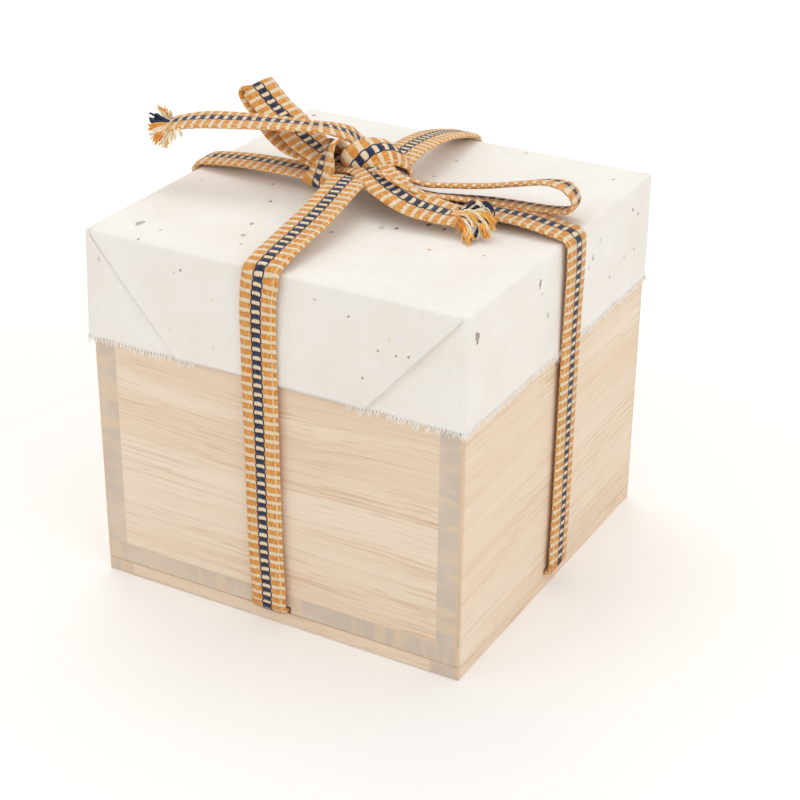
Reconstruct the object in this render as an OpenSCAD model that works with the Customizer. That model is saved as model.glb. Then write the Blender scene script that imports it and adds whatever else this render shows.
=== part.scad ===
// Boxed tea caddy: a lidded lacquer caddy inside a paulownia-wood storage box,
// with a paper cover over the lid and a flat woven cord tied in a bow on top.
// Origin: centre of the underside. +X to the right of the front face, +Y to the back, +Z up.

/* [Box] */
// Outside width and depth of the square box
box_w = 112; // [106:1:124]
// Height from the ground to the top of the lid
box_h = 104; // [98:1:116]
// Thickness of the four wall boards
wall_t = 6.7; // [6:0.1:8]
// Thickness of the base board
base_t = 6; // [5.5:0.5:8]
// Height of the foot battens
foot_h = 4; // [4:0.5:6]
// Width of the foot battens
foot_w = 8.4; // [8:0.1:10]

/* [Lid] */
// Thickness of the lid board
lid_t = 7.8; // [6:0.2:9]
// Height of the battens under the lid
batten_h = 5; // [4:0.5:6]
// Width of the battens under the lid
batten_w = 7; // [6:0.5:8]
// Gap between the lid battens and the walls
batten_gap = 0.3; // [0.2:0.05:0.5]

/* [Wooden pegs] */
// Diameter of a peg
peg_d = 2; // [1.6:0.2:2.4]
// How far a peg enters the piece that it holds
peg_bite = 6; // [5:0.5:6.5]

/* [Paper cover] */
// How far the paper hangs down from the lid's top
paper_drop = 31.2; // [26:0.2:36]
// Thickness of the paper shell
paper_t = 0.35; // [0.3:0.05:0.5]
// Gap between the paper and the walls
paper_gap = 0.15; // [0.15:0.05:0.3]
// Extra thickness of the front and back flaps, which are folded over the side flaps' ears
flap_t = 0.25; // [0.2:0.05:0.35]

/* [Cord] */
// Width of the flat cord
cord_w = 11; // [10:0.5:12]
// Thickness of the flat cord
cord_t = 1.4; // [1.2:0.1:1.4]
// Width of the notches that the cord passes through
notch_w = 12; // [11.8:0.1:13.4]
// Height of the notches
notch_h = 2.3; // [2.2:0.1:2.6]
// Length of a notch, from the outside of the box inwards
notch_l = 21; // [21:0.5:24]
// Sideways place of the front and back notches
cord_x = -1.2; // [-2:0.1:2]
// Sideways place of the left and right notches
cord_y = 1.2; // [-2:0.1:2]

/* [Caddy] */
// Largest radius of the caddy
caddy_r = 36.5; // [34:0.5:38]
// Radius of the caddy's base
caddy_base_r = 22; // [20:0.5:24]
// Height of the closed caddy
caddy_h = 73; // [70:0.5:74]
// Height of the seam between the caddy and its lid
caddy_seam = 40; // [38:0.5:42]
// Wall thickness of the caddy and its lid
caddy_wall = 2.2; // [2:0.1:2.6]
// Height of the collar that the caddy's lid slides over
collar_h = 7; // [6:0.5:8]

/* [Hidden] */

kiri = [0.88, 0.77, 0.64];
kiri_end = [0.78, 0.72, 0.66];
peg_wood = [0.80, 0.68, 0.50];
washi = [0.95, 0.94, 0.91];
cord_yellow = [0.90, 0.66, 0.35];
lacquer = [0.05, 0.04, 0.04];

half = box_w / 2;
inner = half - wall_t;
floor_z = foot_h + base_t;
rim_z = box_h - lid_t;
batten_out = inner - batten_gap;
paper_in = half + paper_gap;
paper_out = paper_in + paper_t;
paper_z = box_h + paper_t;
flap_out = paper_out + flap_t;
// middle of the cord where it runs down outside the paper, and where it lies on the lid
cord_out = flap_out + 0.1 + cord_t / 2;
cord_top = paper_z + 0.1 + cord_t / 2;
// level at which the cord's loose part meets the part threaded under the box
cord_seam_z = 7;
eps = 0.01;

// ---- smooth flat ribbon along points [x, y, z, wx, wy, wz], w being the direction of its width
function unit(v) = v / norm(v);
function place(p) = [p[0], p[1], p[2]];
function across(p) = [p[3], p[4], p[5]];
function bend(a, b, c, d, t) = 0.5 * (2 * b + (c - a) * t + (2 * a - 5 * b + 4 * c - d) * t * t
    + (3 * b - a - 3 * c + d) * t * t * t);
function longer(P) = concat([2 * P[0] - P[1]], P, [2 * P[len(P) - 1] - P[len(P) - 2]]);
function smooth(P, n) = let (E = longer(P)) concat(
    [for (i = [1:len(E) - 3], k = [0:n - 1]) bend(E[i - 1], E[i], E[i + 1], E[i + 2], k / n)],
    [P[len(P) - 1]]);
function along(P, i) = unit(place(P[min(i + 1, len(P) - 1)]) - place(P[max(i - 1, 0)]));
function flat_across(P, i) = let (t = along(P, i), w = across(P[i])) unit(w - (w * t) * t);
chamfer = 0.4;
function ring(P, i, w, t) = let (c = place(P[i]), a = flat_across(P, i), n = cross(along(P, i), a),
    hw = w / 2, ht = t / 2) [
    c + a * hw + n * (ht - chamfer), c + a * (hw - chamfer) + n * ht,
    c - a * (hw - chamfer) + n * ht, c - a * hw + n * (ht - chamfer),
    c - a * hw - n * (ht - chamfer), c - a * (hw - chamfer) - n * ht,
    c + a * (hw - chamfer) - n * ht, c + a * hw - n * (ht - chamfer)];

module ribbon(P, w = cord_w, t = cord_t) {
    m = len(P);
    points = [for (i = [0:m - 1]) each ring(P, i, w, t)];
    sides = [for (i = [0:m - 2], k = [0:7]) let (a = i * 8 + k, b = i * 8 + (k + 1) % 8)
        each [[a, a + 8, b], [b, a + 8, b + 8]]];
    caps = [[for (k = [0:7]) k], [for (k = [7:-1:0]) (m - 1) * 8 + k]];
    polyhedron(points, concat(sides, caps), convexity = 6);
}

// ---- routes of the cord, chosen by eye, in millimetres
// top runs, from the edge of the box to the knot: [distance from the centre, sideways, height]
run_front = [
    [50.5, -0.9, 107], [40, -1.3, 108.4], [30, -1.7, 109.8], [25, -2.2, 110.4], [20.5, -2.8, 110.9],
    [14, -3.6, 111.7], [8.3, -4.6, 111.8], [4, -5.2, 110.6], [1, -5.5, 109]];
run_back = [
    [50, -3.7, 107.5], [39.5, -3, 110.3], [28.7, -2.4, 111.9], [18.3, -1.8, 112.4], [10, -1, 111.8]];
run_left = [
    [50, 1.1, 106.6], [42.5, 0.8, 107.5], [35, 0.5, 108], [24, 0.2, 108.3], [15, 0, 108.5], [6, 0, 108.6]];
run_right = [
    [50, 1.4, 106.6], [44, 1.5, 107.2], [36, 1.5, 107.3], [20, 1.3, 106.9], [6, 1, 106.8]];
edge_r = 3;
edge_out = 0.7;
edge_up = 0.7;
// sideways places of the four strands halfway up the box
front_middle = -2.1;
back_middle = -2.5;
left_middle = 1.2;
right_middle = 2;

// a run down the side of the box and over its top edge, as [distance from the centre, sideways, height]
// low and middle are its sideways places at the notch and halfway up
function side_run(run, low, middle) = concat(
    [[cord_out, low, cord_seam_z + 0.1], [cord_out, low, cord_seam_z + 5],
        [cord_out, low * 0.3 + middle * 0.7, 26], [cord_out, middle, 52],
        [cord_out + 0.2, middle * 0.85 + run[0][1] * 0.15, 78],
        [cord_out + 0.6, middle * 0.4 + run[0][1] * 0.6, 95]],
    [for (a = [0:22.5:90]) [cord_out + edge_out - edge_r * (1 - cos(a)), run[0][1],
        cord_top + edge_up - edge_r * (1 - sin(a))]],
    run);
function to_front(R) = [for (p = R) [p[1], -p[0], p[2], 1, 0, 0]];
function to_back(R) = [for (p = R) [p[1], p[0], p[2], 1, 0, 0]];
function to_left(R) = [for (p = R) [-p[0], p[1], p[2], 0, 1, 0]];
function to_right(R) = [for (p = R) [p[0], p[1], p[2], 0, 1, 0]];

// the part threaded under the box: [distance from the centre, height]
bend_r = 1.1;
notch_mid = foot_h + 1.1;
function under_half(middle) = concat(
    [[cord_out, cord_seam_z]],
    [for (a = [0:30:90]) [cord_out - bend_r * (1 - cos(a)), notch_mid + bend_r * (1 - sin(a))]],
    [[half - foot_w - 3, notch_mid], [half - notch_l + 1, foot_h - 0.8], [12, middle], [0, middle]]);
function under_run(middle) = let (H = under_half(middle), m = len(H)) concat(
    H, [for (i = [m - 2:-1:0]) [-H[i][0], H[i][1]]]);

// left loop, back through the knot, then the tail that lies to the front
left_loop_and_tail = [
    [-16, 2.4, 111.2, 0.38, 0.9, 0.1], [-22, 2.8, 112.5, 0.4, 0.9, 0.1],
    [-28.7, 3.8, 114.2, 0.41, 0.9, 0.15], [-33.4, 4.6, 116.5, 0.41, 0.9, 0.15],
    [-37.3, 5.2, 119.9, 0.41, 0.9, 0.15], [-40.8, 5.8, 123, 0.3, 0.94, 0.12],
    [-43.2, 6, 125.6, 0.18, 0.97, 0.1], [-43.7, 6.1, 127.9, 0.1, 0.98, 0.06],
    [-42, 6.1, 129.3, 0.1, 0.98, 0.06], [-40.2, 6, 128, 0.18, 0.97, 0.1],
    [-38, 5.6, 125.2, 0.3, 0.94, 0.12], [-35.5, 5.2, 122.8, 0.41, 0.9, 0.15],
    [-32.3, 4.6, 120.9, 0.41, 0.9, 0.15], [-28.7, 4, 118.6, 0.41, 0.9, 0.15],
    [-25, 3.2, 116.5, 0.41, 0.9, 0.15], [-19.2, 2.2, 114.6, 0.43, 0.89, 0.1],
    [-13.4, 1.6, 113.6, 0.46, 0.86, 0.12], [-8.6, 0.8, 113.4, 0.5, 0.82, 0.15],
    [-4, -0.7, 113.4, 0.52, 0.8, 0.2], [-0.2, -2.5, 113.3, 0.48, 0.82, 0.22],
    [2.9, -4.6, 112.9, 0.4, 0.86, 0.24], [6.6, -7, 112.3, 0.28, 0.9, 0.26],
    [10.5, -8.7, 111.5, 0.2, 0.93, 0.26], [14, -9.5, 110.5, 0.16, 0.95, 0.24],
    [18, -9.5, 109.4, 0.15, 0.96, 0.2], [22.3, -9.2, 108.4, 0.15, 0.97, 0.15],
    [26.5, -9, 107.7, 0.15, 0.98, 0.1]];
// right loop, back through the knot, then the tail that reaches out to the left
right_loop_and_tail = [
    [5, 0.5, 110.6, -0.2, 0.9, -0.38], [10, 0.2, 110, -0.2, 0.9, -0.36],
    [16, 1.4, 108.9, -0.18, 0.91, -0.32], [22, 4, 107.9, -0.15, 0.93, -0.26],
    [27.2, 6.4, 107.3, -0.1, 0.95, -0.14], [30.9, 8, 107.1, -0.1, 0.95, -0.14],
    [37.6, 9.7, 106.7, -0.1, 0.95, -0.14], [45.6, 10.3, 107, -0.1, 0.95, -0.14],
    [50.8, 10.6, 107.8, -0.1, 0.95, -0.14], [52.8, 10.9, 109.3, -0.1, 0.95, -0.14],
    [53.2, 11, 111.2, -0.1, 0.95, -0.14], [52, 10.8, 113.2, -0.1, 0.95, -0.14],
    [50, 10.5, 114.6, -0.1, 0.95, -0.14], [45.2, 10.2, 114.8, -0.1, 0.95, -0.14],
    [37.4, 9.7, 113, -0.1, 0.95, -0.18], [30.3, 9.2, 111.3, -0.1, 0.95, -0.18],
    [25.8, 8.4, 110.9, -0.12, 0.94, -0.2], [19, 7.2, 110.7, -0.15, 0.93, -0.26],
    [13.8, 6.2, 111.2, -0.2, 0.92, -0.26], [8, 5.6, 112.6, -0.22, 0.92, -0.24],
    [2.5, 5.4, 114.6, -0.24, 0.92, -0.2], [-3, 5, 116.9, -0.26, 0.93, -0.18],
    [-9, 3.6, 119, -0.28, 0.93, -0.15], [-14, 2, 120.6, -0.28, 0.93, -0.15],
    [-18, 0.2, 121.6, -0.28, 0.93, -0.12], [-22.5, -2.2, 122.2, -0.3, 0.94, -0.08],
    [-30, -5.4, 122.6, -0.33, 0.94, 0], [-38, -8.6, 122.7, -0.33, 0.94, 0.05],
    [-49, -12, 122.1, -0.33, 0.94, 0.08], [-56.5, -14.2, 120.6, -0.33, 0.94, 0]];
// band of the knot, from its front left foot over the top to the back right
band_route = [
    [-6.5, 3.6, 110.8, 0.89, 0.27, -0.37], [-6.8, 0.8, 112.2, 0.89, 0.27, -0.37],
    [-6.2, -0.4, 113.6, 0.88, 0.2, -0.42], [-4.9, -0.3, 115, 0.84, 0.05, -0.52],
    [-3.6, 0.6, 116, 0.8, -0.18, -0.56], [-2.2, 2.3, 116.6, 0.76, -0.42, -0.5],
    [-0.9, 4.3, 116.5, 0.76, -0.5, -0.42], [0.4, 6.4, 115.5, 0.76, -0.54, -0.36],
    [1.4, 8, 113.8, 0.76, -0.57, -0.28], [2, 8.8, 111.7, 0.8, -0.57, -0.1], [2.3, 8.8, 109.2, 0.8, -0.6, 0],
    [2, 8, 107, 0.8, -0.6, 0]];
// turn of cord round the left run
turn_route = [
    [-12.2, 3.7, 114.4, 0.5, -0.8, 0.3], [-13.6, 1.8, 116.9, 0.5, -0.8, 0.3],
    [-14.4, -0.1, 117.6, 0.5, -0.8, 0.3], [-14.7, -1.8, 116.2, 0.6, -0.7, 0.3],
    [-15, -3.3, 113.9, 0.8, -0.45, 0.3], [-15.1, -4.8, 111.4, 0.88, -0.3, 0.3],
    [-15.5, -5.6, 109, 0.9, -0.3, 0.2], [-16, -4.8, 106.8, 0.9, -0.3, 0.1], [-14, 0, 106, 0.9, -0.3, 0]];

module board(x, y, z, size) translate([x, y, z]) cube(size);

// ---- pegs
base_peg_places = concat([for (sx = [-1, 1], sy = [-1, 1]) [sx * (half - wall_t / 2), sy * box_w * 0.32]],
    [for (sx = [-1, 1], sy = [-1, 1]) [sx * box_w * 0.24, sy * (half - wall_t / 2)]]);
batten_mid = batten_out - batten_w / 2;
lid_peg_places = concat([for (sx = [-1, 1], sy = [-1, 1]) [sx * batten_mid, sy * box_w * 0.3]],
    [for (sx = [-1, 1], sy = [-1, 1]) [sx * box_w * 0.2, sy * batten_mid]]);
module base_peg_set() for (p = base_peg_places)
    translate([p[0], p[1], 0]) cylinder(d = peg_d, h = floor_z + peg_bite, $fn = 32);
module lid_peg_set() for (p = lid_peg_places)
    translate([p[0], p[1], rim_z - batten_h]) cylinder(d = peg_d, h = batten_h + peg_bite, $fn = 32);

module base_pegs() color(peg_wood) base_peg_set();
module lid_pegs() color(peg_wood) lid_peg_set();

// ---- the box: side walls run the full depth, front and back walls stand between them
module wall_left() color(kiri) difference() {
    board(-half, -half, floor_z, [wall_t, box_w, rim_z - floor_z]);
    base_peg_set();
}
module wall_right() color(kiri) difference() {
    board(inner, -half, floor_z, [wall_t, box_w, rim_z - floor_z]);
    base_peg_set();
}
module wall_front() color(kiri) difference() {
    board(-inner, -half, floor_z, [2 * inner, wall_t, rim_z - floor_z]);
    base_peg_set();
}
module wall_back() color(kiri) difference() {
    board(-inner, inner, floor_z, [2 * inner, wall_t, rim_z - floor_z]);
    base_peg_set();
}

// the base board has a notch for the cord in the middle of each edge of its underside
module base_board() color(kiri_end) difference() {
    board(-half, -half, foot_h, [box_w, box_w, base_t]);
    for (s = [-1, 1]) {
        translate([cord_x - notch_w / 2, s > 0 ? half - notch_l : -half - 1, foot_h - 1])
            cube([notch_w, notch_l + 1, notch_h + 1]);
        translate([s > 0 ? half - notch_l : -half - 1, cord_y - notch_w / 2, foot_h - 1])
            cube([notch_l + 1, notch_w, notch_h + 1]);
    }
    base_peg_set();
}

module foot_left() color(kiri) difference() {
    board(-half, -half, 0, [foot_w, box_w, foot_h]);
    base_peg_set();
}
module foot_right() color(kiri) difference() {
    board(half - foot_w, -half, 0, [foot_w, box_w, foot_h]);
    base_peg_set();
}
module foot_front() color(kiri) difference() {
    board(-half + foot_w, -half, 0, [box_w - 2 * foot_w, foot_w, foot_h]);
    base_peg_set();
}
module foot_back() color(kiri) difference() {
    board(-half + foot_w, half - foot_w, 0, [box_w - 2 * foot_w, foot_w, foot_h]);
    base_peg_set();
}

// ---- the lid: a board with four battens that drop inside the walls
module lid_board() color(kiri) difference() {
    board(-half, -half, rim_z, [box_w, box_w, lid_t]);
    lid_peg_set();
}
module lid_batten_left() color(kiri) difference() {
    board(-batten_out, -batten_out, rim_z - batten_h, [batten_w, 2 * batten_out, batten_h]);
    lid_peg_set();
}
module lid_batten_right() color(kiri) difference() {
    board(batten_out - batten_w, -batten_out, rim_z - batten_h, [batten_w, 2 * batten_out, batten_h]);
    lid_peg_set();
}
module lid_batten_front() color(kiri) difference() {
    board(-batten_out + batten_w, -batten_out, rim_z - batten_h,
        [2 * (batten_out - batten_w), batten_w, batten_h]);
    lid_peg_set();
}
module lid_batten_back() color(kiri) difference() {
    board(-batten_out + batten_w, batten_out - batten_w, rim_z - batten_h,
        [2 * (batten_out - batten_w), batten_w, batten_h]);
    lid_peg_set();
}

// ---- the paper cover: a square sheet folded down over the lid, its front and back flaps outermost
module flap() linear_extrude(flap_t + eps)
    polygon([[-paper_out, 0], [paper_out, 0], [paper_out - paper_drop, -paper_drop],
        [-paper_out + paper_drop, -paper_drop]]);
module paper_cover() color(washi) union() {
    difference() {
        board(-paper_out, -paper_out, paper_z - paper_drop - paper_t,
            [2 * paper_out, 2 * paper_out, paper_drop + paper_t]);
        board(-paper_in, -paper_in, paper_z - paper_drop - paper_t - 1,
            [2 * paper_in, 2 * paper_in, paper_drop + 1]);
    }
    translate([0, -paper_out + eps, paper_z]) rotate([90, 0, 0]) flap();
    translate([0, flap_out, paper_z]) rotate([90, 0, 0]) flap();
}

// ---- the cord
module cord_under_x() color(cord_yellow)
    ribbon([for (p = under_run(foot_h - 0.8)) [p[0], cord_y, p[1], 0, 1, 0]]);
module cord_under_y() color(cord_yellow)
    ribbon([for (p = under_run(foot_h - 2.4)) [cord_x, p[0], p[1], 1, 0, 0]]);
module cord_front() color(cord_yellow) ribbon(to_front(side_run(run_front, cord_x, front_middle)));
module cord_back() color(cord_yellow) ribbon(to_back(side_run(run_back, cord_x, back_middle)));
module cord_left() color(cord_yellow) ribbon(to_left(side_run(run_left, cord_y, left_middle)));
module cord_right() color(cord_yellow) ribbon(to_right(side_run(run_right, cord_y, right_middle)));
module knot_band() color(cord_yellow) ribbon(smooth(band_route, 1));
module knot_core() color(cord_yellow) ribbon(smooth(turn_route, 1));
module bow_cord_left() color(cord_yellow) ribbon(smooth(left_loop_and_tail, 2));
module bow_cord_right() color(cord_yellow) ribbon(smooth(right_loop_and_tail, 2));
// threads of the cut ends, spread like a small brush
frayed_w = 11;
frayed_t = 4;
module frayed_end_front() color(cord_yellow)
    ribbon([[26.6, -9, 107.7, 0.15, 0.98, 0.1], [30, -9.6, 107.8, 0.1, 0.98, 0.1], [35.5, -10.6, 107.9, 0, 1, 0.2]],
        w = frayed_w, t = frayed_t);
module frayed_end_left() color(cord_yellow)
    ribbon([[-56.6, -14.2, 120.6, -0.33, 0.94, 0], [-60, -15.2, 119.6, -0.3, 0.94, -0.2],
        [-65.5, -17, 118, -0.3, 0.8, -0.5]],
        w = frayed_w, t = frayed_t);

// ---- the caddy: a turned and lacquered body with a collar, and a lid that slides over it
steps = 24;
function lower(r0, r1, z0, z1) = [for (k = [0:steps]) let (a = 90 * k / steps)
    [r0 + (r1 - r0) * sin(a), z0 + (z1 - z0) * (1 - cos(a))]];
function upper(r0, r1, z0, z1) = [for (k = [0:steps]) let (a = 90 * k / steps)
    [r1 + (r0 - r1) * cos(a), z0 + (z1 - z0) * sin(a)]];
collar_r = caddy_r - caddy_wall;
collar_wall = 1.4;
lid_fit = 0.2;
dome = 2.5;
lid_top_r = 24;
foot_ring = 1;

module caddy_body() color(lacquer) translate([0, 0, floor_z]) rotate_extrude($fn = 96)
    polygon(concat(
        [[0, foot_ring], [caddy_base_r - 2.5, foot_ring], [caddy_base_r - 2, 0], [caddy_base_r, 0]],
        lower(caddy_base_r, caddy_r, foot_ring, caddy_seam),
        [[collar_r, caddy_seam], [collar_r, caddy_seam + collar_h],
            [collar_r - collar_wall, caddy_seam + collar_h], [collar_r - collar_wall, caddy_seam - 1]],
        [for (k = [steps - 1:-1:1]) lower(caddy_base_r - 4, collar_r - collar_wall,
            foot_ring + caddy_wall + 1, caddy_seam - 1)[k]],
        [[0, foot_ring + caddy_wall + 1]]));

module caddy_lid() color(lacquer) translate([0, 0, floor_z]) rotate_extrude($fn = 96)
    polygon(concat(
        [[collar_r + lid_fit, caddy_seam + eps], [caddy_r, caddy_seam + eps]],
        [for (k = [1:steps]) upper(caddy_r, lid_top_r, caddy_seam + 12, caddy_h - dome)[k]],
        [[lid_top_r / 2, caddy_h - dome / 4], [0, caddy_h], [0, caddy_h - dome - caddy_wall]],
        [for (k = [steps:-1:1]) upper(collar_r + lid_fit, lid_top_r - 3, caddy_seam + 12,
            caddy_h - dome - caddy_wall)[k]]));

wall_front();
wall_back();
wall_left();
wall_right();
base_board();
foot_front();
foot_back();
foot_left();
foot_right();
base_pegs();
cord_under_x();
cord_under_y();
lid_board();
lid_batten_front();
lid_batten_back();
lid_batten_left();
lid_batten_right();
lid_pegs();
paper_cover();
cord_front();
cord_back();
cord_left();
cord_right();
knot_band();
knot_core();
bow_cord_left();
bow_cord_right();
frayed_end_front();
frayed_end_left();
caddy_body();
caddy_lid();
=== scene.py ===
import math
import random

import bmesh
import bpy
from mathutils import Matrix, Vector, noise
from mathutils.bvhtree import BVHTree


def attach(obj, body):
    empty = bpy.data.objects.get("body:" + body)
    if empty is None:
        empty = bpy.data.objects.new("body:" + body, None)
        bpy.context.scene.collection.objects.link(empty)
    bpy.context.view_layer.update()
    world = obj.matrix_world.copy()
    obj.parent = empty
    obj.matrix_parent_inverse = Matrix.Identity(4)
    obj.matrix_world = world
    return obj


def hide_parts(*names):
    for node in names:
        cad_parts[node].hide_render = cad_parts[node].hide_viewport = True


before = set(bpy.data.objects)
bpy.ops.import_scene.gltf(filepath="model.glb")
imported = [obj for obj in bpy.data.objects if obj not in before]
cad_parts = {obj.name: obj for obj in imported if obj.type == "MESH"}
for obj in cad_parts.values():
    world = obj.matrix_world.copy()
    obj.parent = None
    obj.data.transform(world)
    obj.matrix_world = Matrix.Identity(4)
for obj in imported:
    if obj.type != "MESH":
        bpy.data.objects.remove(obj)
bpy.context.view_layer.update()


# ---- Box: walls, base board and feet, planed from pale paulownia (kiri) and glued at butt joints.
# The side walls and the base run front to back, so their ends show grey end grain on the front.
# Every board has its own grain: its points keep where they lie along, across and through it.
HALF = 0.056
WALL = 0.0067
INNER = HALF - WALL
FLOOR = 0.010
FOOT = 0.004
FOOT_W = 0.0084
RIM = 0.0962
LID_TOP = 0.104
PEG_R = 0.00103
CORD_X = -0.0012
CORD_Y = 0.0012
NOTCH_W = 0.012
NOTCH_L = 0.023
NOTCH_MID = 0.0455
NOTCH_Z = (0.003, 0.0063)


def add(tree, kind, inputs=None, **settings):
    made = tree.nodes.new(kind)
    for key, value in settings.items():
        setattr(made, key, value)
    for key, value in (inputs or {}).items():
        if isinstance(value, bpy.types.NodeSocket):
            tree.links.new(value, made.inputs[key])
        else:
            made.inputs[key].default_value = value
    return made


def maths(tree, operation, a, b=0.0, c=0.0):
    return add(tree, "ShaderNodeMath", {0: a, 1: b, 2: c}, operation=operation).outputs[0]


def times(tree, a, b):
    return maths(tree, "MULTIPLY", a, b)


def colour(red, green, blue):
    def linear(value):
        value = value / 255
        return value / 12.92 if value <= 0.04045 else ((value + 0.055) / 1.055) ** 2.4

    return (linear(red), linear(green), linear(blue), 1.0)


def ramp(tree, factor, stops, smooth="LINEAR"):
    made = add(tree, "ShaderNodeValToRGB", {"Fac": factor})
    made.color_ramp.interpolation = smooth
    while len(made.color_ramp.elements) < len(stops):
        made.color_ramp.elements.new(0.5)
    for element, (place, value) in zip(made.color_ramp.elements, stops):
        element.position = place
        element.color = value if isinstance(value, tuple) else (value, value, value, 1.0)
    return made.outputs["Color"]


def mix(tree, factor, a, b, blend="MIX"):
    made = add(tree, "ShaderNodeMix", data_type="RGBA", blend_type=blend)
    for socket, value in ((made.inputs[0], factor), (made.inputs[6], a), (made.inputs[7], b)):
        if isinstance(value, bpy.types.NodeSocket):
            tree.links.new(value, socket)
        else:
            socket.default_value = value
    return made.outputs[2]


def own_place(tree):
    return add(tree, "ShaderNodeTexCoord").outputs["Object"]


def spots(tree, vector, scale, detail=2.0, rough=0.5):
    """Noise that is stretched by its own scale along each axis of the vector."""
    stretched = add(tree, "ShaderNodeVectorMath", {0: vector, 1: scale}, operation="MULTIPLY")
    return add(tree, "ShaderNodeTexNoise",
               {"Vector": stretched.outputs[0], "Scale": 1.0, "Detail": detail, "Roughness": rough}
               ).outputs["Fac"]


def finish_material(name, roughness, **constants):
    made = bpy.data.materials.new(name)
    made.use_nodes = True
    shader = made.node_tree.nodes["Principled BSDF"]
    shader.inputs["Roughness"].default_value = roughness
    for key, value in constants.items():
        shader.inputs[key.replace("_", " ")].default_value = value
    return made, made.node_tree, shader


def paint(tree, shader, face):
    tree.links.new(face, shader.inputs["Base Color"])


def relief(tree, shader, height, distance, strength):
    bump = add(tree, "ShaderNodeBump", {"Height": height, "Distance": distance, "Strength": strength})
    tree.links.new(bump.outputs["Normal"], shader.inputs["Normal"])


def shader_group(name, inputs, output):
    """An empty shader node group; gives the tree, its inputs by name, and its one output socket."""
    tree = bpy.data.node_groups.new(name, "ShaderNodeTree")
    for label, kind in inputs:
        tree.interface.new_socket(label, in_out="INPUT", socket_type="NodeSocket" + kind)
    tree.interface.new_socket(output[0], in_out="OUTPUT", socket_type="NodeSocket" + output[1])
    return tree, tree.nodes.new("NodeGroupInput").outputs, tree.nodes.new("NodeGroupOutput").inputs[0]


def swayed_grain():
    """Grain lines never run dead straight: their coordinates sway a little across the board."""
    wants = (("Grain", "Vector"), ("Stretch", "Vector"), ("Amount", "Float"))
    tree, given, result = shader_group("swayed_grain", wants, ("Grain", "Vector"))
    swing = maths(tree, "SUBTRACT", spots(tree, given["Grain"], given["Stretch"]), 0.5)
    swing = times(tree, swing, given["Amount"])
    across = add(tree, "ShaderNodeCombineXYZ", {1: swing, 2: swing}).outputs[0]
    tree.links.new(add(tree, "ShaderNodeVectorMath", {0: given["Grain"], 1: across}).outputs[0], result)
    return tree


def tinted_corners():
    """The wood is tinted tan and a little darker along the outer corners of the box."""
    wants = (("Wood", "Color"), ("Tan", "Color"), ("Half Width", "Float"))
    tree, given, result = shader_group("tinted_corners", wants, ("Color", "Color"))
    place = add(tree, "ShaderNodeSeparateXYZ", {0: own_place(tree)})
    far = maths(tree, "MINIMUM", maths(tree, "ABSOLUTE", place.outputs[0]),
                maths(tree, "ABSOLUTE", place.outputs[1]))
    near = ramp(tree, maths(tree, "DIVIDE", far, given["Half Width"]), [(0.972, 0.0), (0.992, 0.6)])
    tree.links.new(mix(tree, near, given["Wood"], given["Tan"]), result)
    return tree


SWAYED_GRAIN = swayed_grain()
TINTED_CORNERS = tinted_corners()


def kiri_side():
    made, tree, shader = finish_material("kiri_side", 0.62, Specular_IOR_Level=0.3)
    grain = add(tree, "ShaderNodeAttribute", attribute_name="grain").outputs["Vector"]
    bent = add(tree, "ShaderNodeGroup", {"Grain": grain, "Stretch": (14, 45, 45), "Amount": 0.007},
               node_tree=SWAYED_GRAIN).outputs["Grain"]
    broad = spots(tree, bent, (7, 95, 45))
    fine = spots(tree, bent, (16, 1500, 700), 2.0, 0.55)
    thin = spots(tree, bent, (75, 2900, 1900), 1.0)
    patch = spots(tree, bent, (18, 110, 60))
    base = ramp(tree, broad, [(0.3, colour(236, 212, 186)), (0.5, colour(240, 219, 195)),
                              (0.7, colour(244, 227, 206))])
    lines = ramp(tree, fine, [(0.32, 1.0), (0.5, 0.0)])
    here = ramp(tree, patch, [(0.36, 0.2), (0.62, 0.72)])
    streaked = mix(tree, times(tree, lines, here), base, colour(218, 184, 152))
    dashes = times(tree, ramp(tree, thin, [(0.28, 1.0), (0.38, 0.0)]),
                   ramp(tree, patch, [(0.45, 0.18), (0.65, 0.6)]))
    face = mix(tree, dashes, streaked, colour(205, 163, 136))
    face = add(tree, "ShaderNodeGroup", {"Wood": face, "Tan": colour(219, 186, 150), "Half Width": HALF},
               node_tree=TINTED_CORNERS).outputs["Color"]
    paint(tree, shader, face)
    height = maths(tree, "SUBTRACT", fine, times(tree, dashes, 0.8))
    relief(tree, shader, height, 0.0001, 0.45)
    return made


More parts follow.
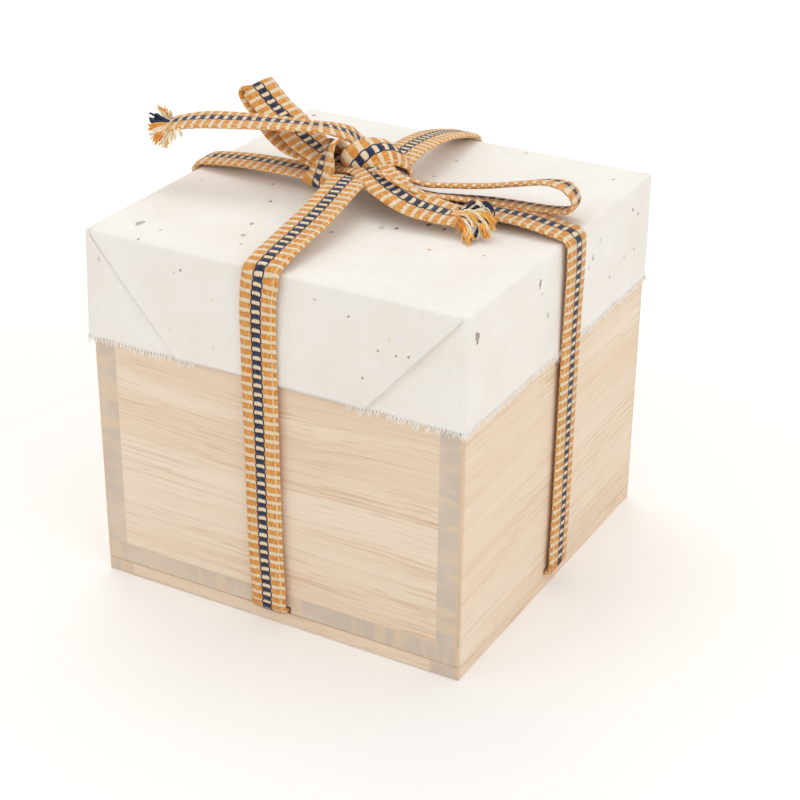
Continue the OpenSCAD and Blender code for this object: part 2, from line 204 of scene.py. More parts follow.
def kiri_end():
    made, tree, shader = finish_material("kiri_end", 0.75, Specular_IOR_Level=0.22)
    grain = add(tree, "ShaderNodeAttribute", attribute_name="grain").outputs["Vector"]
    bent = add(tree, "ShaderNodeGroup", {"Grain": grain, "Stretch": (1, 60, 60), "Amount": 0.004},
               node_tree=SWAYED_GRAIN).outputs["Grain"]
    bands = spots(tree, bent, (1, 150, 26), 1.0, 0.35)
    tint = spots(tree, bent, (1, 40, 70))
    speck = spots(tree, grain, (1, 2600, 2600), 2.0, 0.7)
    rays = spots(tree, bent, (1, 1100, 260), 1.0)
    early = ramp(tree, tint, [(0.35, colour(224, 207, 188)), (0.5, colour(214, 198, 181)),
                              (0.65, colour(207, 192, 178))])
    ring = ramp(tree, bands, [(0.36, 0.65), (0.42, 0.0), (0.56, 0.0), (0.60, 0.6), (0.66, 0.1)])
    ringed = mix(tree, ring, early, colour(231, 207, 177))
    mark = times(tree, ramp(tree, speck, [(0.3, 1.0), (0.46, 0.0)]), 0.28)
    dotted = mix(tree, mark, ringed, colour(192, 168, 148))
    face = mix(tree, times(tree, ramp(tree, rays, [(0.32, 1.0), (0.5, 0.0)]), 0.16),
               dotted, colour(203, 180, 158))
    face = add(tree, "ShaderNodeGroup", {"Wood": face, "Tan": colour(226, 197, 162), "Half Width": HALF},
               node_tree=TINTED_CORNERS).outputs["Color"]
    paint(tree, shader, face)
    relief(tree, shader, speck, 0.0001, 0.5)
    return made


KIRI = [kiri_side(), kiri_end()]


def linked(name, data):
    made = bpy.data.objects.new(name, data)
    bpy.context.collection.objects.link(made)
    return made


def to_object(name, solid):
    """Turns a bmesh into a linked object at the origin."""
    mesh = bpy.data.meshes.new(name)
    solid.to_mesh(mesh)
    solid.free()
    return linked(name, mesh)


def settle(piece):
    """Makes the result of the piece's modifiers its plain mesh."""
    bpy.context.view_layer.update()
    made = bpy.data.meshes.new_from_object(piece.evaluated_get(bpy.context.evaluated_depsgraph_get()))
    piece.modifiers.clear()
    piece.data = made


def stand_for(piece, node, body):
    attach(piece, body)
    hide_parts(node)


def block(low, high):
    solid = bmesh.new()
    bmesh.ops.create_cube(solid, size=1.0)
    for vertex in solid.verts:
        vertex.co = Vector([(low[i] + high[i]) / 2 + vertex.co[i] * (high[i] - low[i]) for i in range(3)])
    return solid


def peg_holes(middle, side, front, low, high):
    """Two pegs' holes in each side, on the side's middle line and at a share of the half width."""
    places = [(sx * middle, sy * HALF * side) for sx in (-1, 1) for sy in (-1, 1)]
    places += [(sx * HALF * front, sy * middle) for sx in (-1, 1) for sy in (-1, 1)]
    solid = bmesh.new()
    for x, y in places:
        ring = bmesh.ops.create_cone(solid, cap_ends=True, segments=24, radius1=PEG_R, radius2=PEG_R,
                                     depth=high - low)["verts"]
        bmesh.ops.translate(solid, verts=ring, vec=(x, y, (low + high) / 2))
    return to_object("peg_holes", solid)


def planed(name, low, high, grain, body, cutters, seed):
    """A board from its low to its high corner; grain is the axis that its fibres run along."""
    solid = block(low, high)
    outer = [edge for edge in solid.edges if sum(
        all(abs(abs(vertex.co[axis]) - limit) < 1e-6 for vertex in edge.verts)
        for axis, limit in ((0, HALF), (1, HALF), (2, 0), (2, LID_TOP))) == 2]
    bmesh.ops.bevel(solid, geom=outer, offset=0.0005, segments=3, profile=0.5, affect="EDGES")
    piece = to_object(name, solid)
    for cutter in cutters:
        cut = piece.modifiers.new("cut", "BOOLEAN")
        cut.object = cutter
        cut.solver = "EXACT"
    settle(piece)
    mesh = piece.data
    others = sorted([axis for axis in range(3) if axis != grain], key=lambda axis: low[axis] - high[axis])
    store = mesh.attributes.new("grain", "FLOAT_VECTOR", "POINT")
    for vertex in mesh.vertices:
        store.data[vertex.index].vector = [vertex.co[axis] + seed * (0.7 + 0.3 * i)
                                           for i, axis in enumerate([grain, *others])]
    mesh.materials.clear()
    for material in KIRI:
        mesh.materials.append(material)
    for face in mesh.polygons:
        face.material_index = 1 if abs(face.normal[grain]) > 0.75 else 0
        face.use_smooth = max(abs(value) for value in face.normal) < 0.98
    stand_for(piece, name, body)


holes = peg_holes(HALF - WALL / 2, side=0.64, front=0.48, low=-0.002, high=0.0162)
slots = []
for axis, middle in ((1, CORD_X), (0, CORD_Y)):
    for s in (-1, 1):
        low = [middle - NOTCH_W / 2, middle - NOTCH_W / 2, NOTCH_Z[0]]
        high = [middle + NOTCH_W / 2, middle + NOTCH_W / 2, NOTCH_Z[1]]
        low[axis] = s * NOTCH_MID - NOTCH_L / 2
        high[axis] = s * NOTCH_MID + NOTCH_L / 2
        slots.append(to_object("slot", block(low, high)))
planed("base_board", (-HALF, -HALF, FOOT), (HALF, HALF, FLOOR), 1, "box", [holes, *slots], 0.31)
for name, low, high, grain, seed in (
        ("foot_left", (-HALF, -HALF, 0), (-HALF + FOOT_W, HALF, FOOT), 1, 0.83),
        ("foot_right", (HALF - FOOT_W, -HALF, 0), (HALF, HALF, FOOT), 1, 1.27),
        ("foot_front", (-HALF + FOOT_W, -HALF, 0), (HALF - FOOT_W, -HALF + FOOT_W, FOOT), 0, 0.41),
        ("foot_back", (-HALF + FOOT_W, HALF - FOOT_W, 0), (HALF - FOOT_W, HALF, FOOT), 0, 0.57),
        ("wall_left", (-HALF, -HALF, FLOOR), (-INNER, HALF, RIM), 1, 2.11),
        ("wall_right", (INNER, -HALF, FLOOR), (HALF, HALF, RIM), 1, 1.72),
        ("wall_front", (-INNER, -HALF, FLOOR), (INNER, -INNER, RIM), 0, 0.94),
        ("wall_back", (-INNER, INNER, FLOOR), (INNER, HALF, RIM), 0, 3.05)):
    planed(name, low, high, grain, "box", [holes], seed)


# ---- Lid: one board with four battens below it that drop inside the walls, all of the same wood.
# The battens are pegged on from below and butt against each other at the corners.
BATTEN_OUT = 0.049
BATTEN_IN = 0.042
BATTEN_LOW = 0.0912
lid_holes = peg_holes((BATTEN_IN + BATTEN_OUT) / 2, side=0.6, front=0.4, low=0.090, high=0.1022)
for name, low, high, grain, seed in (
        ("lid_board", (-HALF, -HALF, RIM), (HALF, HALF, LID_TOP), 0, 1.5),
        ("lid_batten_left", (-BATTEN_OUT, -BATTEN_OUT, BATTEN_LOW), (-BATTEN_IN, BATTEN_OUT, RIM), 1, 0.2),
        ("lid_batten_right", (BATTEN_IN, -BATTEN_OUT, BATTEN_LOW), (BATTEN_OUT, BATTEN_OUT, RIM), 1, 0.6),
        ("lid_batten_front", (-BATTEN_IN, -BATTEN_OUT, BATTEN_LOW), (BATTEN_IN, -BATTEN_IN, RIM), 0, 0.9),
        ("lid_batten_back", (-BATTEN_IN, BATTEN_IN, BATTEN_LOW), (BATTEN_IN, BATTEN_OUT, RIM), 0, 1.1)):
    planed(name, low, high, grain, "lid", [lid_holes], seed)
for used in [holes, lid_holes, *slots]:
    bpy.data.objects.remove(used, do_unlink=True)


# ---- Pegs: split from a harder wood, round, driven up into the walls and the lid.
# Only their cut ends show, with fine rings and dots.
def peg_wood():
    made, tree, shader = finish_material("peg_wood", 0.6)
    place = own_place(tree)
    rings = spots(tree, place, (900, 900, 60), 3.0)
    face = ramp(tree, rings, [(0.3, colour(176, 138, 92)), (0.7, colour(214, 181, 133))])
    paint(tree, shader, face)
    relief(tree, shader, rings, 0.0001, 0.4)
    return made


pegs = peg_wood()
for node in ("base_pegs", "lid_pegs"):
    for slot in bpy.data.objects[node].material_slots:
        slot.material = pegs


# ---- Caddy: turned wood under many coats of black lacquer, polished; its lid slides over a collar.
# The wall runs thin and even, and the foot stands on a narrow ring.
def lacquer():
    made, tree, shader = finish_material("lacquer", 0.16, Coat_Weight=1.0, Coat_Roughness=0.04)
    place = own_place(tree)
    depth = spots(tree, place, (60, 60, 60), 3.0)
    dust = spots(tree, place, (2600, 2600, 2600))
    face = ramp(tree, depth, [(0.3, colour(20, 13, 12)), (0.7, colour(33, 21, 18))])
    paint(tree, shader, face)
    relief(tree, shader, maths(tree, "ADD", depth, times(tree, dust, 0.1)), 0.0001, 0.35)
    return made


def quarter(r0, r1, z0, z1, rising):
    """A quarter of an ellipse between two radii and two heights, in mm."""
    turn = [math.pi / 2 * k / 32 for k in range(33)]
    if rising:
        return [(r1 + (r0 - r1) * math.cos(a), z0 + (z1 - z0) * math.sin(a)) for a in turn]
    return [(r0 + (r1 - r0) * math.sin(a), z0 + (z1 - z0) * (1 - math.cos(a))) for a in turn]


def from_faces(name, points, faces, merge=0.0):
    """A linked object with its faces turned outwards; points closer than merge become one."""
    mesh = bpy.data.meshes.new(name)
    mesh.from_pydata(points, [], faces)
    solid = bmesh.new()
    solid.from_mesh(mesh)
    bpy.data.meshes.remove(mesh)
    if merge:
        bmesh.ops.remove_doubles(solid, verts=solid.verts, dist=merge)
    bmesh.ops.recalc_face_normals(solid, faces=solid.faces)
    return to_object(name, solid)


def turned(name, profile, body):
    """Spins an outline of (radius, height) pairs in mm about the caddy's axis, from the box's floor up."""
    count = 144
    size = len(profile)
    points = []
    faces = []
    for k in range(count):
        turn = 2 * math.pi * k / count
        points += [(r * 0.001 * math.cos(turn), r * 0.001 * math.sin(turn), z * 0.001 + FLOOR)
                   for r, z in profile]
        here = k * size
        there = (k + 1) % count * size
        faces += [(here + i, there + i, there + i + 1, here + i + 1) for i in range(size - 1)]
    piece = from_faces(name, points, faces, merge=1e-6)
    piece.data.shade_smooth()
    piece.data.set_sharp_from_angle(angle=math.radians(38))
    piece.data.materials.append(LACQUER)
    stand_for(piece, name, body)


LACQUER = lacquer()
turned("caddy_body",
       [(0, 1), (19.3, 1), (19.7, 0.9), (20, 0.1), (20.2, 0), (21.7, 0), (22, 0.2)]
       + quarter(22, 36.5, 1, 40, False)
       + [(36.3, 40.05), (34.3, 40.05), (34.3, 46.7), (34.1, 47), (33.1, 47), (32.9, 46.8)]
       + quarter(18, 32.9, 4.2, 39, False)[::-1] + [(0, 4.2)], "caddy")
turned("caddy_lid",
       [(34.5, 40.2), (34.7, 40.01), (36.2, 40.01), (36.5, 40.25)]
       + quarter(36.5, 24, 52, 70.5, True)[:-1]
       + [(24.4, 70.45), (23.4, 70.9), (18, 71.65), (12, 72.2), (6, 72.6), (0, 72.75), (0, 68.3)]
       + quarter(34.5, 21, 52, 68.3, True)[::-1] + [(34.5, 40.2)], "caddy_lid")


# ---- Paper cover: one square sheet of thick handmade paper, folded down over the lid.
# The corners are folded round as ears under the front and back flaps, and the deckle edge is left torn.
PAPER = 0.0565
PAPER_TOP = 0.10435
DROP = 0.0312
BULGE = 0.00055
FOLD = 0.0009
LIFT = 0.0011
SLANT = 0.87
SHEET = 0.00028


def washi():
    made, tree, shader = finish_material("washi", 0.88, Specular_IOR_Level=0.2, Sheen_Weight=0.12)
    place = own_place(tree)
    cloud = spots(tree, place, (55, 55, 55), 3.0)
    bend = add(tree, "ShaderNodeTexNoise", {"Vector": place, "Scale": 260.0, "Detail": 1.0})
    swirl = add(tree, "ShaderNodeVectorMath", {0: bend.outputs["Color"], 1: (0.006, 0.006, 0.006)},
                operation="MULTIPLY")
    moved = add(tree, "ShaderNodeVectorMath", {0: place, 1: swirl.outputs[0]}).outputs[0]
    strands = []
    for stretch in ((1700, 160, 900), (160, 1700, 500), (900, 1100, 200)):
        strand = spots(tree, moved, stretch, 1.0)
        strands.append(ramp(tree, strand, [(0.3, 1.0), (0.42, 0.0)]))
    web = maths(tree, "MAXIMUM", maths(tree, "MAXIMUM", strands[0], strands[1]), strands[2])
    base = ramp(tree, cloud, [(0.3, colour(240, 234, 225)), (0.7, colour(247, 243, 236))])
    fibrous = mix(tree, times(tree, web, 0.28), base, colour(252, 249, 244))
    paint(tree, shader, fibrous)
    grit = spots(tree, place, (1500, 1500, 1500), 3.0, 0.6)
    height = maths(tree, "ADD", times(tree, web, 0.5), grit)
    relief(tree, shader, height, 0.0001, 0.7)
    return made


WASHI = washi()


def sway(x, y, z, scale, size):
    return noise.noise(Vector((x * scale, y * scale, z * scale + 7.3))) * size


def torn(along, side):
    """How far the torn edge reaches below the sheet's even edge at a place along it, in metres."""
    where = Vector((along * 160, side * 9.1, 0.4))
    return noise.noise(where) * 0.0007 + noise.noise(where * 6) * 0.00035


torn_edge = []


def paper_shell(solid):
    """Top, flaps and the ears folded round the corners; the front left corner is pulled out a little."""
    steps = 116
    steps_down = 36
    pulled = 0.022
    for axis, sign in ((2, 1), (0, 1), (0, -1), (1, 1), (1, -1)):
        rows = steps if axis == 2 else steps_down
        grid = []
        for i in range(steps + 1):
            line = []
            for j in range(rows + 1):
                u = -PAPER + 2 * PAPER * i / steps
                if axis == 2:
                    point = Vector((u, -PAPER + 2 * PAPER * j / rows, PAPER_TOP))
                else:
                    point = Vector((0, 0, PAPER_TOP - DROP * j / rows))
                    point[axis] = sign * PAPER
                    point[1 - axis] = u * (sign if axis == 0 else -sign)
                inner = Vector([max(-PAPER + FOLD, min(PAPER - FOLD, point[0])),
                                max(-PAPER + FOLD, min(PAPER - FOLD, point[1])),
                                min(PAPER_TOP - FOLD, point[2])])
                out = point - inner
                if out.length > 1e-9:
                    point = inner + out.normalized() * FOLD
                fall = (PAPER_TOP - point.z) / DROP
                loose = min(1.0, fall * 1.6) if axis != 2 else 0.0
                flat = Vector((point.x, point.y, 0)).normalized()
                point += flat * loose * (sway(point.x, point.y, point.z, 34, 0.00035) + 0.00012)
                if axis == 2:
                    edge = min(PAPER - abs(point.x), PAPER - abs(point.y)) / 0.02
                    point.z += sway(point.x, point.y, 0, 28, 0.00025) * max(0.0, min(1.0, edge))
                corner = max(0.0, 1 - math.hypot(point.x + PAPER, point.y + PAPER) / pulled)
                point += Vector((-0.0011, -0.0002, 0)) * corner * fall * fall
                if j == rows and axis != 2:
                    point.z += torn(u, axis * 2 + sign)
                    if axis == 0 or abs(u) > PAPER - DROP - 0.002:
                        torn_edge.append((point.copy(), flat))
                line.append(solid.verts.new(point))
            grid.append(line)
        for i in range(steps):
            for j in range(rows):
                face = [grid[i][j], grid[i + 1][j], grid[i + 1][j + 1], grid[i][j + 1]]
                if axis == 1:
                    middle = sum((v.co.x for v in face)) / 4
                    level = sum((v.co.z for v in face)) / 4
                    under_flap = abs(middle) < PAPER - (PAPER_TOP - level) - 0.004
                    if under_flap and level < PAPER_TOP - 0.003:
                        continue
                solid.faces.new(face)


def paper_flap(solid, sign):
    """The outermost flap, on the front for sign -1: its slanting sides are folded edges.

    Its first rows wrap round the top fold and sink into it at the corners, so that no step shows there.
    """
    columns = 84
    rows = 30
    grid = []
    for j in range(-4, rows + 1):
        fall = max(0.0, j / rows)
        level = PAPER_TOP - FOLD - (DROP - FOLD) * fall
        reach = PAPER - 0.0010 + 0.0002 * min(0, j) - DROP * fall * SLANT
        round_the_fold = math.radians(22.5 * min(0, j))
        line = []
        for i in range(-1, columns + 2):
            share = min(1.0, max(0.0, i / columns))
            x = -reach + 2 * reach * share
            edge = min(share, 1 - share) * 2 * reach
            puffed = BULGE * min(1.0, fall * 4) * (0.62 + 0.38 * math.exp(-edge / 0.004))
            proud = 0.00004 + puffed * (0.45 + 0.55 * share)
            proud += (sway(x, 3.1 * sign, level, 26, 0.00030) + 0.00015) * min(1.0, fall * 2)
            proud += 0.0005 * fall ** 3 * math.exp(-edge / 0.01)
            proud += LIFT * math.sin(math.pi * fall) * math.exp(-(1 - share) * 2 * reach / 0.005)
            if i in (-1, columns + 1):
                proud = -0.0001
                x *= 0.994
            drop = 0.0
            if j == rows:
                drop = sway(x, 1.7 * sign, 0, 45, 0.0006) + 0.0002
            sunk = 0.00012 * math.exp(-edge / 0.002)
            if j in (0, 1):
                proud -= sunk * (0.7 - 0.4 * j)
            if j < 0:
                bow = FOLD + 0.00002 * (j + 2) - sunk
                proud = bow * math.cos(round_the_fold) - FOLD
                drop = bow * math.sin(round_the_fold)
            line.append(solid.verts.new((x, sign * (PAPER + proud), level - drop)))
        grid.append(line)
    grid.append([solid.verts.new((v.co.x, v.co.y - sign * 0.0004, v.co.z + 0.0001)) for v in grid[-1]])
    for j in range(len(grid) - 1):
        for i in range(len(grid[0]) - 1):
            face = [grid[j][i], grid[j][i + 1], grid[j + 1][i + 1], grid[j + 1][i]]
            solid.faces.new(face if sign > 0 else face[::-1])


def paper_cover():
    solid = bmesh.new()
    paper_shell(solid)
    bmesh.ops.remove_doubles(solid, verts=solid.verts, dist=0.00002)
    bmesh.ops.recalc_face_normals(solid, faces=solid.faces)
    paper_flap(solid, -1)
    paper_flap(solid, 1)
    piece = to_object("paper_cover", solid)
    piece.data.shade_smooth()
    piece.data.materials.append(WASHI)
    thick = piece.modifiers.new("thickness", "SOLIDIFY")
    thick.thickness = SHEET
    thick.offset = -1
    settle(piece)
    stand_for(piece, "paper_cover", "cover")
    return piece


cover = paper_cover()


def threads_tree():
    """Splits each guide line into loose fibres that fan out and curl; "tone" passes to the mesh."""
    tree = bpy.data.node_groups.new("threads", "GeometryNodeTree")
    sockets = tree.interface
    sockets.new_socket("Geometry", in_out="INPUT", socket_type="NodeSocketGeometry")
    for label, kind in (("Copies", "Int"), ("Spread", "Float"), ("Curl", "Float"), ("Thickness", "Float"),
                        ("Shortest", "Float"), ("Points", "Int"), ("Sides", "Int"), ("Seed", "Int"),
                        ("Material", "Material")):
        sockets.new_socket(label, in_out="INPUT", socket_type="NodeSocket" + kind)
    sockets.new_socket("Geometry", in_out="OUTPUT", socket_type="NodeSocketGeometry")
    given = add(tree, "NodeGroupInput").outputs
    lines = add(tree, "GeometryNodeMeshToCurve", {0: given["Geometry"]}).outputs[0]
    lines = add(tree, "GeometryNodeCurveSplineType", {"Curve": lines}, spline_type="CATMULL_ROM").outputs[0]
    lines = add(tree, "GeometryNodeResampleCurve", {"Curve": lines, "Count": given["Points"]},
                mode="COUNT").outputs[0]
    lines = add(tree, "GeometryNodeDuplicateElements", {"Geometry": lines, "Amount": given["Copies"]},
                domain="SPLINE").outputs[0]

    def each(low, high, turn, kind="FLOAT_VECTOR"):
        seed = maths(tree, "ADD", given["Seed"], turn)
        pick = add(tree, "FunctionNodeRandomValue", data_type=kind)
        pair = [socket for socket in pick.inputs if socket.enabled and socket.name in ("Min", "Max")]
        pair[0].default_value = low
        pair[1].default_value = high
        tree.links.new(seed, pick.inputs["Seed"])
        chosen = [socket for socket in pick.outputs if socket.enabled][0]
        return add(tree, "GeometryNodeFieldOnDomain", {"Value": chosen}, data_type=kind,
                   domain="CURVE").outputs[0]

    def scaled(vector, amount):
        return add(tree, "ShaderNodeVectorMath", {0: vector, "Scale": amount}, operation="SCALE").outputs[0]

    share = add(tree, "GeometryNodeSplineParameter").outputs["Factor"]
    fan = maths(tree, "MULTIPLY_ADD", maths(tree, "POWER", share, 1.4), 0.85, 0.15)
    aside = scaled(scaled(each((-1, -1, -1), (1, 1, 1), 0), fan), given["Spread"])
    here = add(tree, "GeometryNodeInputPosition").outputs[0]
    where = add(tree, "ShaderNodeVectorMath", {0: here, 1: each((-1, -1, -1), (1, 1, 1), 5)}).outputs[0]
    wave = add(tree, "ShaderNodeTexNoise", {"Vector": where, "Scale": 420.0, "Detail": 1.0})
    wave = add(tree, "ShaderNodeVectorMath", {0: wave.outputs["Color"], 1: (0.5, 0.5, 0.5)},
               operation="SUBTRACT")
    curled = scaled(scaled(wave.outputs[0], share), given["Curl"])
    offset = add(tree, "ShaderNodeVectorMath", {0: aside, 1: curled}).outputs[0]
    lines = add(tree, "GeometryNodeSetPosition", {"Geometry": lines, "Offset": offset}).outputs[0]
    rest = maths(tree, "SUBTRACT", 1.0, given["Shortest"])
    keep = maths(tree, "MULTIPLY_ADD", each(0.0, 1.0, 9, "FLOAT"), rest, given["Shortest"])
    trimmed = add(tree, "GeometryNodeTrimCurve", {"Curve": lines}, mode="FACTOR")
    ends = [socket for socket in trimmed.inputs if socket.enabled and socket.name == "End"]
    tree.links.new(keep, ends[0])
    thin = maths(tree, "MULTIPLY_ADD", share, -0.4, 1.0)
    lines = add(tree, "GeometryNodeSetCurveRadius",
                {"Curve": trimmed.outputs[0], "Radius": thin}).outputs[0]
    ring = add(tree, "GeometryNodeCurvePrimitiveCircle",
               {"Resolution": given["Sides"], "Radius": given["Thickness"]}, mode="RADIUS").outputs[0]
    solid = add(tree, "GeometryNodeCurveToMesh", {"Curve": lines, "Profile Curve": ring, "Fill Caps": True})
    solid = add(tree, "GeometryNodeRealizeInstances", {0: solid.outputs[0]})
    solid = add(tree, "GeometryNodeSetMaterial",
                {"Geometry": solid.outputs[0], "Material": given["Material"]})
    tree.links.new(solid.outputs[0], add(tree, "NodeGroupOutput").inputs[0])
    return tree


THREADS = threads_tree()


def loose_threads(name, guides, material, **values):
    """Guides are (tone, points in metres); gives a plain mesh of fibres."""
    points = []
    edges = []
    tones = []
    for tone, line in guides:
        first = len(points)
        points += line
        tones += [tone] * len(line)
        edges += [(first + i, first + i + 1) for i in range(len(line) - 1)]
    mesh = bpy.data.meshes.new(name)
    mesh.from_pydata(points, edges, [])
    store = mesh.attributes.new("tone", "FLOAT", "POINT")
    store.data.foreach_set("value", [float(tone) for tone in tones])
    piece = linked(name, mesh)
    loose = piece.modifiers.new("threads", "NODES")
    loose.node_group = THREADS
    values["Material"] = material
    for item in THREADS.interface.items_tree:
        if item.name in values:
            loose[item.identifier] = values[item.name]
    settle(piece)
    piece.data.shade_smooth()
    return piece


def fibre():
    # Painted light: the fibres glow faintly, so the thin fuzz stays white where it would go grey in its own
    # shade.
    made, tree, shader = finish_material("paper_fibre", 0.85, Specular_IOR_Level=0.2, Sheen_Weight=0.2,
                                         Emission_Color=colour(255, 249, 240), Emission_Strength=0.11)
    place = own_place(tree)
    face = ramp(tree, spots(tree, place, (700, 700, 700)),
                [(0.3, colour(250, 246, 240)), (0.7, colour(255, 254, 251))])
    paint(tree, shader, face)
    return made


pick = random.Random(4)
TUFTS = 3
fuzz = []
for point, flat in torn_edge:
    for _ in range(TUFTS):
        side = Vector((-flat.y, flat.x, 0)) * pick.uniform(-0.0009, 0.0009)
        length = pick.uniform(0.0007, 0.0019) * (1.4 if pick.random() < 0.12 else 1.0)
        root = point + Vector((0, 0, 0.0005)) + flat * 0.00006
        half_way = point + side * 0.5 - Vector((0, 0, length * 0.5))
        tip = point + side * 1.4 - Vector((0, 0, length)) + flat * pick.uniform(-0.0001, 0.0003)
        fuzz.append((0, [root, half_way, tip]))
fibres = loose_threads("paper_fibres", fuzz, fibre(), Copies=6, Spread=0.0006, Curl=0.0012,
                       Thickness=0.000042, Shortest=0.3, Points=5, Sides=3, Seed=3)
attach(fibres, "cover")


# ---- Flecks: bits of dark bark that were left in the pulp and dried into the sheet.
# Each is a thin flake pressed into the paper's face: place and size in mm, and tone.
BARK = {"dark": (104, 78, 64), "brown": (132, 112, 100), "grey": (168, 163, 158), "faint": (205, 200, 193),
        "gold": (240, 220, 178), "tan": (211, 170, 124)}
on_top = [
    (-45.9, -46.3, 2, 2.6, "grey"), (-38.4, -47.6, 0.6, 0.8, "grey"), (-39.8, -55.5, 0.6, 0.9, "dark"),
    (-49.8, -12.1, 0.9, 1.1, "faint"), (-24.8, -15.7, 0.9, 1.3, "dark"), (-20.3, -31.9, 1.1, 1.1, "dark"),
    (-17.8, -39.8, 1.6, 1.3, "grey"), (-15, -45, 0.7, 1.1, "grey"), (0.5, -26.1, 1.4, 1.1, "grey"),
    (-51.8, 50.9, 1.1, 1.3, "dark"), (-31.1, -4.5, 1.1, 1.1, "grey"), (20.2, -9, 1.6, 1.3, "dark"),
    (14, -15.3, 1.1, 1.1, "dark"), (25.3, -9.7, 1.4, 1.1, "dark"), (10.5, -17, 1.8, 1.6, "faint"),
    (28.4, -23.8, 1.4, 0.8, "tan"), (42.3, -20.5, 0.9, 0.8, "grey"), (4, 37.8, 0.9, 1.1, "grey"),
    (18.4, 53.7, 1.4, 1.1, "faint"), (4.3, 23.7, 0.9, 0.8, "grey"), (48.7, 46.7, 1.4, 0.8, "grey")]
on_front = [
    (-26.1, 99, 0.9, 0.8, "brown"), (-28.1, 97.9, 0.6, 0.6, "faint"), (-52.2, 96.5, 1.3, 1.5, "faint"),
    (-30.1, 81.6, 1.3, 0.5, "gold"), (-16.5, 79.4, 0.6, 1.6, "gold"), (-16.5, 93, 0.6, 1.6, "gold"),
    (14, 99.9, 1, 0.6, "grey"), (23.8, 97.6, 1, 0.6, "brown"), (28, 82, 0.8, 0.8, "brown"),
    (35.6, 94.1, 0.6, 1.6, "gold"), (32.3, 90.4, 0.8, 0.8, "brown"), (37.5, 90.4, 0.8, 0.6, "brown"),
    (41.2, 91.1, 0.8, 0.6, "brown")]
on_right = [
    (-16.5, 98.2, 1.5, 2.5, "dark"), (-14.9, 94.8, 0.9, 0.9, "tan"), (-10.8, 87.4, 1.2, 1.9, "grey"),
    (-51.6, 97.5, 2.4, 3.2, "brown"), (16.6, 93.3, 1.5, 1.6, "grey"), (14.5, 91.1, 1.2, 1.3, "faint"),
    (29.1, 83.1, 1.5, 1.3, "faint"), (21.2, 96.8, 1.2, 1.3, "faint"), (43.1, 98, 1.8, 1.3, "grey"),
    (47.2, 95.5, 1.2, 1.3, "grey"), (39, 85.4, 1.2, 1.6, "faint"), (45.8, 85.3, 1.2, 1, "grey")]


def fleck():
    made, tree, shader = finish_material("bark_fleck", 0.85, Specular_IOR_Level=0.2)
    place = own_place(tree)
    tone = add(tree, "ShaderNodeAttribute", attribute_name="bark").outputs["Color"]
    worn = ramp(tree, spots(tree, place, (2600, 2600, 2600)), [(0.4, 0.15), (0.65, 1.0)])
    pale = times(tree, worn, 0.62)
    paint(tree, shader, mix(tree, pale, tone, colour(236, 230, 220)))
    return made


def flecks(groups):
    """Groups are (rows, out, across, up): each row's two numbers lie along across and up, seen from out."""
    shape = random.Random(11)
    sides = 11
    down = sides + 1
    surface = bmesh.new()
    surface.from_mesh(cover.data)
    tree = BVHTree.FromBMesh(surface)
    points = []
    faces = []
    tones = []
    for rows, out, across, up in groups:
        for a, b, wide, high, tone in rows:
            rim = []
            lean = shape.uniform(-0.6, 0.6)
            high *= 1.5 if out.z > 0.5 else 1.1
            for k in range(sides):
                turn = 2 * math.pi * k / sides
                reach = shape.uniform(0.55, 1.15)
                u = math.cos(turn) * reach * wide / 2
                v = math.sin(turn) * reach * high / 2 + lean * u * 0.5
                rim.append((a + u, b + v))
            first = len(points)
            for depth in (0.00003, -0.00006):
                for u, v in [(a, b), *rim]:
                    start = across * (u * 0.001) + up * (v * 0.001) + out * 0.2
                    hit = tree.ray_cast(start, -out)[0]
                    points.append(hit + out * depth)
                    tones.append(colour(*BARK[tone]))
            for k in range(sides):
                here = first + 1 + k
                there = first + 1 + (k + 1) % sides
                faces += [(first, here, there), (here, here + down, there + down, there),
                          (first + down, there + down, here + down)]
    surface.free()
    piece = from_faces("bark_flecks", points, faces)
    store = piece.data.attributes.new("bark", "FLOAT_COLOR", "POINT")
    for item, tone in zip(store.data, tones):
        item.color = tone
    piece.data.materials.append(fleck())
    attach(piece, "cover")
    return piece


scatter = random.Random(8)
on_left, on_back = [[(scatter.uniform(-50, 50), scatter.uniform(76, 101), scatter.uniform(0.5, 1.6),
                      scatter.uniform(0.5, 1.4), scatter.choice(["dark", "brown", "grey", "faint", "tan"]))
                     for _ in range(14)] for _ in range(2)]
X, Y, Z = Vector((1, 0, 0)), Vector((0, 1, 0)), Vector((0, 0, 1))
bark = flecks([(on_left, -X, Y, Z), (on_back, Y, X, Z), (on_top, Z, X, Y), (on_front, -Y, X, Z),
               (on_right, X, Y, Z)])


# ---- Cord: a flat woven cord of cotton, about 1.2 m in all, mustard and pale ribs with a navy ladder.
# Four strands and the parts under the box are one loop held by the knot; the bow's two ends are free.
CORD_W = 0.011
CORD_T = 0.0014
PITCH = 0.00262
ROWS_PER_PITCH = 6
GOLD_SHARE = 0.56
PALE_SHARE = 0.44
WARPS = 44.0
RIB_OUT = 0.00015
RIB_UP = 0.00012


